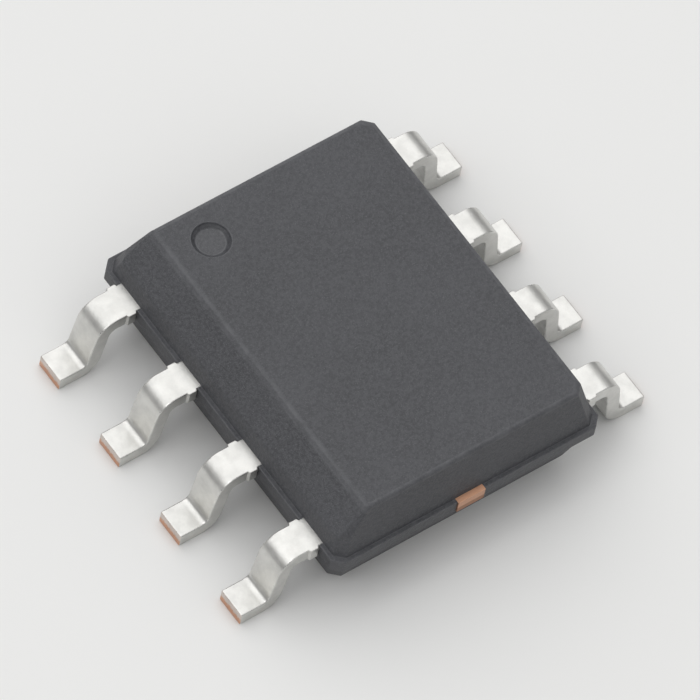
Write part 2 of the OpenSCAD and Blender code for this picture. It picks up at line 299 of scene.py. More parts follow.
def pierced_tube(rows, edge, row, wall, wall_edge):
    """A tube of four-cornered sections with a hole through its upper and lower faces.

    The hole lies between one row and the next. Its wall is rows of a circle, from the upper face
    down to the lower one, whose first point lies towards the upper quad's first corner. Each side
    of the two quads is joined by one face to the quarter of the circle beside it.
    """
    points, edge, faces = tube(rows, edge)
    count, (levels, sides) = rows.shape[1], wall.shape[:2]
    # The quads between the first two and the last two arcs of the section
    upper, lower = row * count + count // 4 - 1, row * count + 3 * count // 4 - 1
    # The first points of the wall's upper and lower circle
    start, low = len(points), len(points) + (levels - 1) * sides
    quarter = sides // 4
    lids = []
    for n in range(4):
        after = (n + 1) % 4
        arc = [start + (n * quarter + k) % sides for k in range(quarter, -1, -1)]
        lids.append([faces[upper][n], faces[upper][after]] + arc)
        arc = [low + (-n * quarter + k) % sides for k in range(quarter + 1)]
        lids.append([faces[lower][n], faces[lower][after]] + arc)
    faces = [face for n, face in enumerate(faces) if n not in (upper, lower)]
    faces += [[start + v for v in face] for face in tube_quads(levels, sides)]
    wall_edge = np.broadcast_to(wall_edge, (levels, sides)).reshape(-1)
    return np.concatenate([points, wall.reshape(-1, 3)]), np.append(edge, wall_edge), faces + lids


def solid(name, shells, turned=False):
    """A smooth-shaded mesh object of one or more closed shells (points, edge mask, faces).

    The faces of a mirrored shell are turned, so that they point outwards again.
    """
    faces, start = [], 0
    for points, _, shell in shells:
        faces += [[start + v for v in (face[::-1] if turned else face)] for face in shell]
        start += len(points)
    points, edges, _ = zip(*shells)
    mesh = bpy.data.meshes.new(name)
    mesh.from_pydata(np.concatenate(points).tolist(), [], faces)
    mesh.polygons.foreach_set("use_smooth", np.ones(len(faces), bool))
    mask = mesh.attributes.new("edge", "FLOAT", "POINT")
    mask.data.foreach_set("value", np.concatenate(edges).astype(np.float32))
    if mesh.validate():
        raise RuntimeError(f"{name} came out with faults in its mesh")
    piece = bpy.data.objects.new(name, mesh)
    bpy.context.scene.collection.objects.link(piece)
    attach(piece, "root")
    return piece


# Least size of a corner cut, as a multiple of the radius of its edges
LEAST_CUT = 1.3
# From a rounded edge of the body to the rows of points beside it
BESIDE = 0.008 * MM
# From the edges of the top face and the underside to the first row on them
ON_FACE = 0.12 * MM
# Steps along the end walls and along the side walls
WALL_STEPS = (72, 92)
# How far outside its rim the profile of a pit starts, and at which share of its radius it ends
PIT_RIM, PIT_FLOOR = 0.05 * MM, 0.4
# Radius and steps of the rounded rim and foot of the index recess and of the ejector pin mark
RECESS_EDGES = ((0.02 * MM, 4), (0.03 * MM, 5))
MARK_EDGES = ((0.01 * MM, 3), (0.008 * MM, 3))


def cut_corner(cut, radius):
    """Points round a corner at the origin, between walls along -Y and -X, that is cut across.

    Both edges of the cut are rounded.
    """
    far, steps = 4 * cut, 3
    corners = [(0.0, -far, 0, 0), (0.0, -cut, radius, steps)]
    corners += [(-cut, 0.0, radius, steps), (-far, 0.0, 0, 0)]
    return rounded_line(corners, radius / 3)[0][1:-1]


def outline(low_x, high_x, half_y, low_cut, high_cut, radius):
    """Rings of a rectangle with cut and rounded corners, one ring for each set of sizes.

    Round every corner the points go along the first wall, round the first edge of the cut,
    along the cut, round its second edge and on along the next wall. Their places change
    linearly with the size of the cut. The points between two corners are spaced evenly along
    the wall. The rings run counter-clockwise seen from above.
    """
    least = LEAST_CUT * radius
    small, large = cut_corner(least, radius), cut_corner(2 * least, radius)
    corners = []
    for sx, sy, x, cut in (
        (1, 1, high_x, high_cut),
        (-1, 1, low_x, low_cut),
        (-1, -1, low_x, low_cut),
        (1, -1, high_x, high_cut),
    ):
        share = ((cut - least) / least)[:, None, None]
        local = small + (large - small) * share
        if sx * sy < 0:
            local = local[:, ::-1]
        corner = np.stack([x, sy * half_y], -1)[:, None, :]
        corners.append(corner + local * np.array([sx, sy]))
    walls = []
    for n, (corner, after) in enumerate(zip(corners, corners[1:] + corners[:1])):
        t = np.linspace(0.0, 1.0, WALL_STEPS[n % 2] + 1)[1:-1][None, :, None]
        walls += [corner, corner[:, -1:] * (1 - t) + after[:, :1] * t]
    return np.concatenate(walls, 1)


def level_rows(rings, heights):
    """The rings' points (x, y) with each ring at its own height."""
    z = np.broadcast_to(np.asarray(heights)[:, None, None], rings.shape[:2] + (1,))
    return np.concatenate([rings, z], -1)


def bevel_line(s):
    """The bevel's 45 degree plane seen along the rows of leads.

    Returns the x at which it meets the top face, and the x and z at which it meets the wall.
    """
    lean = math.tan(s.draft)
    top_x = s.bevel - (s.half_w - (s.top_z - s.parting_z) * lean)
    low_z = (s.top_z - s.half_w - top_x - s.parting_z * lean) / (1 - lean)
    return top_x, (low_z - s.parting_z) * lean - s.half_w, low_z


def wall_section(s):
    """Section of the side walls as (distance outwards, height), and its mask of rounded edges.

    A polyline with rounded corners: underside, lower wall, ledge, upper wall and top face. More
    points lie on the upper wall where the bevel starts.
    """
    lean = math.tan(s.draft)
    low_in, high_in = (s.parting_z - s.bottom_z) * lean, (s.top_z - s.parting_z) * lean
    low, high = s.parting_z - s.ledge_half, s.parting_z + s.ledge_half
    step_in = s.ledge_half * lean
    wall, edge = rounded_line(
        [
            (-low_in - ON_FACE, s.bottom_z, 0, 0),
            (-low_in, s.bottom_z, s.edge_r, 6),
            (-step_in, low, s.ledge_r / 2, 3),
            (s.ledge, low, s.ledge_r, 3),
            (s.ledge, high, s.ledge_r, 3),
            (-step_in, high, s.ledge_r / 2, 3),
            (-high_in, s.top_z, s.edge_r, 8),
            (-high_in - ON_FACE, s.top_z, 0, 0),
        ],
        BESIDE,
    )
    reach, rows = 0.05, 9
    near = bevel_line(s)[2] + np.linspace(-reach, reach, rows) * MM
    more = np.stack([-(near - s.parting_z) * lean, near], -1)
    at = int(np.searchsorted(wall[:, 1], near[0], side="left"))
    return np.insert(wall, at, more, axis=0), np.insert(edge, at, np.zeros(len(near)))


def bevelled_side(s, out, z):
    """X of each row on the -X side, behind the wall and behind the bevel's plane.

    Both edges of the bevel are rounded. The rows on the top face move in with the other walls'.
    """
    top_x, low_x, low_z = bevel_line(s)
    line, _ = rounded_line(
        [
            (-s.half_w, s.parting_z, 0, 0),
            (low_x, low_z, s.bevel_r, 6),
            (top_x, s.top_z, s.bevel_r, 6),
            (top_x + ON_FACE, s.top_z, 0, 0),
        ],
        BESIDE,
    )
    wall, close, clear = -(s.half_w + out), 1e-6 * MM, 0.02 * MM
    on_top = z > s.top_z - close
    start = line[np.argmax(line[:, 1] > s.top_z - close), 0]
    plane = np.interp(z, line[:, 1], line[:, 0])
    plane = np.where(on_top, start + (out[on_top].max() - out), plane)
    above_ledge = z > s.parting_z + s.ledge_half + clear
    return np.where(above_ledge, np.maximum(wall, plane), wall)


def round_pit(ring, z, centre, radius, floor_r, depth, edges, beside):
    """Rows from a ring on a level face inwards to a round pit and down into it, and their mask.

    The pit's profile (radius, height) is turned round its centre. Its wall goes from the rim
    to the floor's radius, with rounded edges. Each point lies at the angle of the ring's own
    point. Three rows lead from the ring to the first circle along straight lines.
    """
    rim, foot = edges
    corners = [(radius + PIT_RIM, 0.0, 0, 0), (radius, 0.0, *rim)]
    corners += [(floor_r, depth, *foot), (PIT_FLOOR * radius, depth, 0, 0)]
    profile, edge = rounded_line(corners, beside)
    ray = ring[:, :2] - centre
    ray = ray / np.linalg.norm(ray, axis=1, keepdims=True)
    circles = np.array(centre) + ray * profile[:, 0, None, None]
    share = np.array([0.25, 0.5, 0.75])[:, None, None]
    way = ring[:, :2] * (1 - share) + circles[0] * share
    flat = np.zeros(len(share))
    rows = level_rows(np.concatenate([way, circles]), np.append(flat, profile[:, 1]) + z)
    return rows, np.append(flat, edge)


def body_rows(s):
    """Rows of the moulded body's skin from the middle of the underside to the index recess.

    Each point of the wall's section gives one ring round the body, with the bevel on its -X
    side. The first ring leads to the ejector pin mark and the last one to the index recess,
    whose wall slopes at 45 degrees.
    """
    wall, edge = wall_section(s)
    out, z = wall[:, 0], wall[:, 1]
    low_x = bevelled_side(s, out, z)
    low_cut = np.maximum(s.corner_cut - (low_x + (s.half_w + out)), LEAST_CUT * s.corner_r)
    high_cut = np.full_like(z, s.corner_cut)
    rings = outline(low_x, s.half_w + out, s.half_l + out, low_cut, high_cut, s.corner_r)
    rows = level_rows(rings, z)

    r, depth, beside = s.recess_r, s.recess_depth, 0.005 * MM
    centre = (s.recess_x - s.half_w, s.half_l - s.recess_y)
    top, top_edge = round_pit(
        rows[-1], s.top_z, centre, r, r - depth, -depth, RECESS_EDGES, beside
    )
    r, depth, beside, lean = s.ejector_r, s.ejector_depth, 0.003 * MM, 0.004 * MM
    under, under_edge = round_pit(
        rows[0], s.bottom_z, (0.0, 0.0), r, r - lean, depth, MARK_EDGES, beside
    )
    edge = np.concatenate([under_edge[::-1], edge, top_edge])
    return np.concatenate([under[::-1], rows, top]), edge[:, None]


def section(half_w, half_h, radius):
    """Rounded rectangle round the origin, counter-clockwise, with points beside each arc.

    Every corner is the one before it after a quarter turn, which takes (u, v) to (-v, u).
    """
    far, beside = 9.0, 0.6
    unit = [(1.0, -far, 0, 0), (1.0, 1.0, 1.0, 4), (-far, 1.0, 0, 0)]
    corner = (rounded_line(unit, beside)[0][1:-1] - 1.0) * radius
    turn = np.array([[0.0, 1.0], [-1.0, 0.0]])
    whole, size = [], np.array([half_w, half_h])
    for quarter in ((1, 1), (-1, 1), (-1, -1), (1, -1)):
        whole.append(corner + size * quarter)
        corner = corner @ turn
    return np.concatenate(whole)


def gate_rows(s):
    """Rows of the gate's stub, carried outwards along Y, with a broken end.

    Sections shrink evenly towards the middle of the end face. The face lies back by a depth
    that is the sum of a long and a short wave. Each is a depth times 1 less a product of two
    sines of X and Z, whose factors are radians for each millimetre.
    """
    edge_r, points, steps = 0.012 * MM, 97, 15
    ring = section(s.gate_w / 2, s.gate_h / 2, edge_r)
    ring = np.concatenate([ring, ring[:1]])
    run = np.append(0.0, np.cumsum(np.linalg.norm(np.diff(ring, axis=0), axis=1)))
    at = np.unique(np.append(run, np.linspace(0, run[-1], points)))[:-1]
    ring = np.stack([np.interp(at, run, ring[:, 0]), np.interp(at, run, ring[:, 1])], -1)
    inside, tip = s.half_l - s.gate_h, s.half_l + s.gate_proud
    sizes = np.concatenate([np.ones(3), np.linspace(0.97, 0.03, steps)])
    y = np.append([inside, s.half_l, tip - edge_r], np.full(steps, tip))
    rows = ring * sizes[:, None, None]
    x, z = rows[..., 0] / MM, rows[..., 1] / MM
    long = np.sin(13 * x + 2) * np.sin(21 * z + 1 + 5 * x)
    short = np.sin(57 * x + 31 * z) * np.sin(83 * z - 29 * x)
    broken = np.arange(len(y)) > 2
    depth = 0.006 * MM * (1 - long) + 0.003 * MM * (1 - short)
    y = y[:, None] - np.where(broken[:, None], depth, 0.0)
    centre_z = s.parting_z - s.gate_h / 2
    rows = np.stack([s.gate_off + rows[..., 0], y, centre_z + rows[..., 1]], -1)
    return rows, broken[:, None].astype(float)


# Room for the rounding at both ends of a lead, as a multiple of the punched radius
END_ROOM = 2.2
# Half the room along a lead for its lock hole, as a multiple of the hole's radius
LOCK_ROOM = 1.6
# Points along each of the two bends
BEND_STEPS = 15


def bent_path(s, tip):
    """Middle line of a lead seen from the side, from the finger's tip to the tip of the foot.

    Straight to the shoulder, an arc down, a straight leaning run, an arc out and the straight
    sole. Returns the points (x, z) and the directions in which the sheet's upper face looks.
    """
    mid = s.bend_r + s.sheet / 2
    turn = math.pi / 2 - s.run_lean
    drop = 2 * mid * (1 - math.cos(turn))
    under = s.sheet_z - s.sheet / 2
    run = (under - drop) / math.sin(turn)
    wing = 2 * mid * math.sin(turn) + run * math.cos(turn)
    heel_x = s.tip_x - s.sole
    shoulder_x = heel_x - wing

    a = math.pi / 2 - np.linspace(0, turn, BEND_STEPS)
    b = math.pi + s.run_lean + np.linspace(0, turn, BEND_STEPS)
    up_a = np.stack([np.cos(a), np.sin(a)], -1)
    up_b = -np.stack([np.cos(b), np.sin(b)], -1)
    shoulder = np.array([shoulder_x, under - s.bend_r]) + mid * up_a
    heel = np.array([heel_x, s.bend_r + s.sheet]) - mid * up_b

    near = 0.01 * MM
    flat = flat_stations(s, tip, shoulder_x - near)
    foot = np.array([heel_x + near, s.tip_x - END_ROOM * s.punch_r])
    along = (heel[0] - shoulder[-1]) / np.linalg.norm(heel[0] - shoulder[-1])
    leaning = np.stack([shoulder[-1] + along * near, heel[0] - along * near])
    flat = np.stack([flat, np.full_like(flat, s.sheet_z)], -1)
    foot = np.stack([foot, np.full_like(foot, s.sheet / 2)], -1)
    level = np.array([[0.0, 1.0]])
    ups = [level.repeat(len(flat), 0), up_a, up_a[-1:].repeat(2, 0), up_b, level.repeat(2, 0)]
    return np.concatenate([flat, shoulder, leaning, heel, foot]), np.concatenate(ups)


def flat_stations(s, tip, end):
    """Distances of the rows on the flat finger and shoulder.

    Four rows stand close together at each step of the punched outline, and a pair of rows
    leaves room for the lock hole.
    """
    near = 0.006 * MM
    dam = s.body_side + s.dam_from
    rows = [tip + END_ROOM * s.punch_r]
    for step in (tip + s.head_l, tip + s.toe_w, dam, dam + s.dam_w):
        rows += [step - 2 * near, step - near, step + near, step + 2 * near]
    lock_x = s.body_side - s.lock_in
    rows += [lock_x - LOCK_ROOM * s.lock_r, lock_x + LOCK_ROOM * s.lock_r]
    return np.array([x for x in sorted(rows) if x > tip + 2 * s.punch_r] + [end])


def lock_wall(s):
    """Rows of the lock hole's wall: circles of radius r at height z, along the profile (r, z)."""
    low, high = s.sheet_z - s.sheet / 2, s.sheet_z + s.sheet / 2
    rim = s.lock_r + 2 * s.punch_r
    corners = [(rim, high, 0, 0), (s.lock_r, high, s.punch_r, 3)]
    corners += [(s.lock_r, low, s.punch_r, 3), (rim, low, 0, 0)]
    profile, edge = rounded_line(corners, s.punch_r / 4)
    sides, first_corner = 32, math.radians(135.0)
    a = first_corner + np.linspace(0.0, 2 * math.pi, sides, endpoint=False)
    x = s.body_side - s.lock_in + profile[:, :1] * np.cos(a)
    y = profile[:, :1] * np.sin(a)
    return np.stack([x, y, np.broadcast_to(profile[:, 1:], x.shape)], -1), edge[:, None]


def punched_outline(s, tip, x, corner):
    """Half widths of a lead towards +Y and -Y at each x.

    A plain strip with the stubs of the dam bar, and at the finger's tip a toe towards -Y on a
    corner lead, or a head on a middle one.
    """
    dam = s.body_side + s.dam_from
    side = np.full_like(x, s.width / 2)
    side = np.where((x > dam) & (x < dam + s.dam_w), side + s.dam_proud, side)
    if corner:
        return side, np.where(x < tip + s.toe_w, s.width / 2 + s.toe_l, side)
    side = np.where(x < tip + s.head_l, s.head_w / 2, side)
    return side, side


def lead_rows(s, corner):
    """Rows of one lead in the +X, +Y quarter, lying on the X axis.

    The section is a rounded rectangle of the sheet's thickness, as wide as the punched
    outline. Both ends are rounded by sections that shrink on every side by r * (1 - cos a)
    while they move on by r * sin a. Also returns the number of the last row before the lock
    hole.
    """
    tip, r = s.corner_tip if corner else s.middle_tip, s.punch_r
    points, ups = bent_path(s, tip)
    x = points[:, 0]
    side, other = punched_outline(s, tip, x, corner)

    a = np.radians(np.linspace(0.0, 90.0, 5))
    move, shrink = r * np.sin(a), r * (1 - np.cos(a))
    added, count = len(a), len(x)
    order = np.pad(np.arange(count), added, mode="edge")
    inset = np.concatenate([shrink[::-1], np.zeros(count), shrink])
    points, up = points[order], ups[order]
    points[:added, 0] = tip + r - move[::-1]
    points[-added:, 0] = s.tip_x - r + move

    base = section(0.0, 0.0, r)
    on_arc = len(base) // 4
    sign_y = np.repeat([1.0, -1.0, -1.0, 1.0], on_arc)
    sign_z = np.repeat([1.0, 1.0, -1.0, -1.0], on_arc)
    scale = np.clip(1 - inset / r, 0.02, 1)[:, None]
    reach = np.where(sign_y > 0, side[order][:, None], other[order][:, None])
    across = base[:, 0] * scale + sign_y * (reach - inset[:, None])
    above = base[:, 1] * scale + sign_z * (s.sheet / 2 - inset[:, None])
    ahead, upward = points[:, :1] + up[:, :1] * above, points[:, 1:] + up[:, 1:] * above
    arc = np.tile(np.concatenate([[0.0], np.ones(on_arc - 2), [0.0]]), 4)
    edge = np.maximum(arc[None], (inset > 0)[:, None])
    before_lock = added + int(np.argmax(x > s.body_side - s.lock_in)) - 1
    return np.stack([ahead, across, upward], -1), edge, before_lock


def lead_place(number):
    """Whether a lead is in the -X row, and its place in its row, counted from the +Y end."""
    left = number <= IN_ROW
    return left, number - 1 if left else LEAD_COUNT - number


def bond_points(w, s, number):
    """Places of the ball and of the stitch's end of one wire, in plan."""
    left, place = lead_place(number)
    middle_y = s.pitch / 2
    if place in (0, IN_ROW - 1):
        toe_y = 3 * middle_y - s.width / 2 - s.toe_l
        ball = (w.die_half_w - 2 * w.bond_in, w.die_half_l - w.bond_in)
        stitch = (s.corner_tip + s.toe_w / 2, toe_y + w.stitch_in)
    else:
        ball = (w.die_half_w - w.bond_in, w.bond_pitch / 2)
        stitch = (s.middle_tip + w.stitch_in, middle_y)
    quarter = np.array([-1 if left else 1, 1 if place < IN_ROW // 2 else -1])
    return quarter * ball, quarter * stitch


def ball_stations(w):
    """Stations up the ball and its neck, as sections that lie level.

    The profile (radius, height) is a polyline with rounded corners. Each station is the
    distance along the wire seen from above, the height, the climb of the wire as an angle, and
    half the section's width and depth.
    """
    neck, bulge = w.ball_h + (w.ball_r - w.wire_r) / 2, 0.2 * w.ball_h
    profile, _ = rounded_line(
        [
            (0.2 * w.ball_r, 0.0, 0, 0),
            (w.ball_r, 0.0, bulge, 4),
            (w.ball_r, w.ball_h, bulge, 4),
            (w.wire_r, neck, bulge / 2, 3),
            (w.wire_r, neck + 2 * bulge, 0, 0),
        ],
        bulge / 4,
    )
    radius, height = profile.T
    climb = np.full(len(profile), math.pi / 2)
    return np.stack([0 * climb, w.die_top + height, climb, radius, radius], -1)


def loop_stations(w, low, heel):
    """Stations along the loop, from the top of the neck to the stitch.

    A cubic curve that leaves the neck straight up. Its two pulling points are level, and 4/3
    as high above the neck as the loop's peak, because the curve climbs about 3/4 of their way.
    """
    pull_z = low + (w.die_top + w.loop_h - low) * 4 / 3
    far_pull, steps = 0.45, 29
    end = [heel, w.finger_top + w.wire_r]
    p = np.array([[0, low], [0, pull_z], [far_pull * heel, pull_z], end])
    t = np.linspace(0, 1, steps)[1:, None]
    u = 1 - t
    at = u**3 * p[0] + 3 * u**2 * t * p[1] + 3 * u * t**2 * p[2] + t**3 * p[3]
    way = u**2 * (p[1] - p[0]) + 2 * u * t * (p[2] - p[1]) + t**2 * (p[3] - p[2])
    climb = np.arctan2(way[:, 1], way[:, 0])
    round_half = 0 * climb + w.wire_r
    return np.stack([at[:, 0], at[:, 1], climb, round_half, round_half], -1)


def stitch_stations(w, heel, climb):
    """Stations along the stitch, which grows wider and thinner and lies down on the finger.

    All three change with the ease k * k * (3 - 2 * k) of the share k of the stitch's length.
    """
    wider, thinner, steps = 0.7, 0.6, 8
    k = np.linspace(0, 1, steps)[1:]
    ease = k * k * (3 - 2 * k)
    wide, deep = w.wire_r * (1 + wider * ease), w.wire_r * (1 - thinner * ease)
    along = heel + k * w.stitch_l
    return np.stack([along, w.finger_top + deep, climb * (1 - ease), wide, deep], -1)


def wire_rows(w, start, end):
    """Rows of one bond wire from the die to the finger: ball, loop and stitch.

    An oval section is carried along the wire. Its point at angle a lies aside by half its
    width * cos a, and square to the wire by half its depth * sin a.
    """
    span = np.linalg.norm(end - start)
    heel = span - w.stitch_l
    ball = ball_stations(w)
    loop = loop_stations(w, ball[-1, 1], heel)
    stitch = stitch_stations(w, heel, loop[-1, 2])
    along, z, climb, wide, deep = np.concatenate([ball, loop, stitch]).T[..., None]
    a = np.linspace(0, 2 * math.pi, 16, endpoint=False)
    along, across = along - np.sin(climb) * deep * np.sin(a), wide * np.cos(a)
    ahead = (end - start) / span
    aside = np.array([-ahead[1], ahead[0]])
    plan = start + along[..., None] * ahead + across[..., None] * aside
    return np.concatenate([plan, (z + np.cos(climb) * deep * np.sin(a))[..., None]], -1)


# ---------------------------------------------------------------- node groups


class Nodes:
    """A short way to write a node tree. Most calls add one node and return its output."""

    def __init__(self, tree):
        self.tree = tree

    def add(self, kind, **settings):
        """Adds a node with the given settings."""
        node = self.tree.nodes.new(kind)
        for key, value in settings.items():
            setattr(node, key, value)
        return node

    def feed(self, node, socket, value):
        """Links an output to a socket, or sets the socket's own value."""
        target = node.inputs[socket]
        if isinstance(value, bpy.types.NodeSocket):
            self.tree.links.new(value, target)
        elif target.type == "RGBA":
            target.default_value = (*value, 1.0)
        else:
            target.default_value = value

    def math(self, operation, *values, clamp=False):
        """One Math node."""
        node = self.add("ShaderNodeMath", operation=operation, use_clamp=clamp)
        for n, value in enumerate(values):
            self.feed(node, n, value)
        return node.outputs[0]

    def mix(self, share, a, b):
        """Colour a where share is 0 and colour b where it is 1."""
        node = self.add("ShaderNodeMix", data_type="RGBA")
        self.feed(node, 0, share)
        self.feed(node, 6, a)
        self.feed(node, 7, b)
        return node.outputs[2]

    def span(self, value, low, high, to_low=0.0, to_high=1.0):
        """Maps low..high smoothly to to_low..to_high."""
        node = self.add("ShaderNodeMapRange", interpolation_type="SMOOTHSTEP")
        for n, v in enumerate((value, low, high, to_low, to_high)):
            self.feed(node, n, v)
        return node.outputs[0]

    def fall(self, value, low, high):
        """1 below low and 0 above high, with a smooth change."""
        return self.span(value, low, high, 1.0, 0.0)

    def vary(self, pattern, low, high):
        """Goes from low to high with the middle tones of a pattern."""
        return self.span(pattern, 0.3, 0.7, low, high)

    def away(self, value, middle):
        """How far a value is from the middle, on either side."""
        return self.math("ABSOLUTE", self.math("SUBTRACT", value, middle))

    def noise(self, at, scale, detail=2.0, roughness=0.5):
        """Noise from 0 to 1. The scale is in features per metre."""
        node = self.add("ShaderNodeTexNoise")
        self.feed(node, "Vector", at)
        self.feed(node, "Scale", scale)
        self.feed(node, "Detail", detail)
        self.feed(node, "Roughness", roughness)
        return node.outputs["Fac"]

    def bricks(self, at, width, height, gap):
        """Bricks of the given size in X and Y, in uneven rows.

        Color is grey and differs from brick to brick. Fac is 1 in the gaps.
        """
        node = self.add("ShaderNodeTexBrick", offset=0.37, squash=0.7, squash_frequency=3)
        self.feed(node, "Vector", at)
        self.feed(node, "Color1", (0.0, 0.0, 0.0))
        self.feed(node, "Color2", (1.0, 1.0, 1.0))
        self.feed(node, "Scale", 1.0)
        self.feed(node, "Mortar Size", gap / 2)
        self.feed(node, "Brick Width", width)
        self.feed(node, "Row Height", height)
        return node.outputs

    def stretched_noise(self, at, shares, scale):
        """Noise drawn out along the axes whose share is small."""
        stretch = self.add("ShaderNodeMapping")
        self.feed(stretch, "Vector", at)
        self.feed(stretch, "Scale", shares)
        return self.noise(stretch.outputs[0], scale)

    def place(self):
        """Object coordinates."""
        return self.add("ShaderNodeTexCoord").outputs["Object"]

    def axes(self, at):
        """X, Y and Z of a place."""
        node = self.add("ShaderNodeSeparateXYZ")
        self.feed(node, 0, at)
        return node.outputs[0], node.outputs[1], node.outputs[2]

    def group(self, tree, **values):
        """Places a node group and sets its inputs by name."""
        node = self.add("ShaderNodeGroup")
        node.node_tree = tree
        for key, value in values.items():
            self.feed(node, key.replace("_", " "), value)
        return node.outputs


def new_group(name, inputs, outputs):
    """An empty node group with the given sockets: (name, kind) or (name, kind, default)."""
    tree = bpy.data.node_groups.new(name, "ShaderNodeTree")
    for title, kind, *default in inputs:
        socket = tree.interface.new_socket(name=title, in_out="INPUT", socket_type=kind)
        if default:
            socket.default_value = default[0]
    for title, kind in outputs:
        tree.interface.new_socket(name=title, in_out="OUTPUT", socket_type=kind)
    n = Nodes(tree)
    return tree, n, n.add("NodeGroupInput").outputs, n.add("NodeGroupOutput")


def fine_grain_group():
    """Grain of two sizes: a height, and a mask of single specks."""
    if "Fine grain" in bpy.data.node_groups:
        return bpy.data.node_groups["Fine grain"]
    tree, n, given, result = new_group(
        "Fine grain",
        [("Place", "NodeSocketVector"), ("Scale", "NodeSocketFloat", 3e4)],
        [("Height", "NodeSocketFloat"), ("Specks", "NodeSocketFloat")],
    )
    coarse = n.noise(given["Place"], given["Scale"], 2.0, 0.55)
    fine = n.noise(given["Place"], n.math("MULTIPLY", given["Scale"], 2.7), 1.0)
    height = n.math("ADD", n.math("MULTIPLY", coarse, 0.65), n.math("MULTIPLY", fine, 0.35))
    n.feed(result, "Height", height)
    n.feed(result, "Specks", n.span(fine, 0.62, 0.74))
    return tree


def edge_wear_group():
    """A mask that is strongest on rounded edges and broken up by noise."""
    if "Edge wear" in bpy.data.node_groups:
        return bpy.data.node_groups["Edge wear"]
    tree, n, given, result = new_group(
        "Edge wear",
        [
            ("Place", "NodeSocketVector"),
            ("Edge", "NodeSocketFloat"),
            ("Scale", "NodeSocketFloat", 6e3),
            ("Amount", "NodeSocketFloat", 0.5),
        ],
        [("Wear", "NodeSocketFloat")],
    )
    broken = n.span(n.noise(given["Place"], given["Scale"], 3.0, 0.6), 0.35, 0.65, 0.35, 1.0)
    worn = n.math("MULTIPLY", given["Edge"], broken)
    n.feed(result, "Wear", n.math("MULTIPLY", worn, given["Amount"], clamp=True))
    return tree


def mottle_group():
    """Slow change of tone over the surface, from 0 to 1."""
    if "Mottle" in bpy.data.node_groups:
        return bpy.data.node_groups["Mottle"]
    tree, n, given, result = new_group(
        "Mottle",
        [("Place", "NodeSocketVector"), ("Scale", "NodeSocketFloat", 900.0)],
        [("Tone", "NodeSocketFloat")],
    )
    n.feed(result, "Tone", n.span(n.noise(given["Place"], given["Scale"], 4.0, 0.6), 0.3, 0.7))
    return tree


# ---------------------------------------------------------------- finishes


def new_material(name):
    """A material with an empty tree, its writer, and its Principled shader."""
    material = bpy.data.materials.new(name)
    material.use_nodes = True
    tree = material.node_tree
    tree.nodes.clear()
    n = Nodes(tree)
    shader = n.add("ShaderNodeBsdfPrincipled")
    output = n.add("ShaderNodeOutputMaterial")
    tree.links.new(shader.outputs[0], output.inputs[0])
    return material, n, shader


def add_bump(n, shader, height, depth):
    """Raises the surface by the height, from 0 to 1, times the depth in metres."""
    bump = n.add("ShaderNodeBump")
    n.feed(bump, "Height", height)
    n.feed(bump, "Distance", depth)
    n.feed(shader, "Normal", bump.outputs[0])


def shade(colour, share):
    """The colour made darker, or lighter where the share is above 1."""
    return tuple(c * share for c in colour)


def own_edge(n):
    """The piece's own mask of rounded edges."""
    return n.add("ShaderNodeAttribute", attribute_name="edge").outputs["Fac"]


def bevel_highlight_and_wear(n, s, x, z):
    """Mask of a line along the top edge of the bevel: a painted highlight where the rounded edge
    catches the light, and partly compound rubbed there.
    """
    core, width, band = 0.02 * MM, 0.07 * MM, 0.1 * MM
    line = n.fall(n.away(x, bevel_line(s)[0]), core, width)
    return n.math("MULTIPLY", line, n.span(z, s.top_z - band, s.top_z - band / 2))


def recess_face(n, s, x, y, z):
    """Mask of the index recess, which a polished pin forms."""
    from_x = n.math("SUBTRACT", x, s.recess_x - s.half_w)
    from_y = n.math("SUBTRACT", y, s.half_l - s.recess_y)
    away = n.math("SQRT", n.math("ADD", n.math("POWER", from_x, 2), n.math("POWER", from_y, 2)))
    rim, rise = 0.02 * MM, 0.2 * MM
    inside = n.fall(away, s.recess_r - rim, s.recess_r)
    return n.math("MULTIPLY", inside, n.span(z, s.parting_z, s.parting_z + rise))


def broken_gate(n, s, x, y, z):
    """Mask of the broken end of the gate."""
    out = n.span(y, s.half_l + 0.5 * s.gate_proud, s.half_l + 0.6 * s.gate_proud)
    beside = n.math("LESS_THAN", n.away(x, s.gate_off), s.gate_w / 2)
    level = n.math("LESS_THAN", n.away(z, s.parting_z - s.gate_h / 2), s.gate_h / 2)
    return n.math("MULTIPLY", n.math("MULTIPLY", out, beside), level)


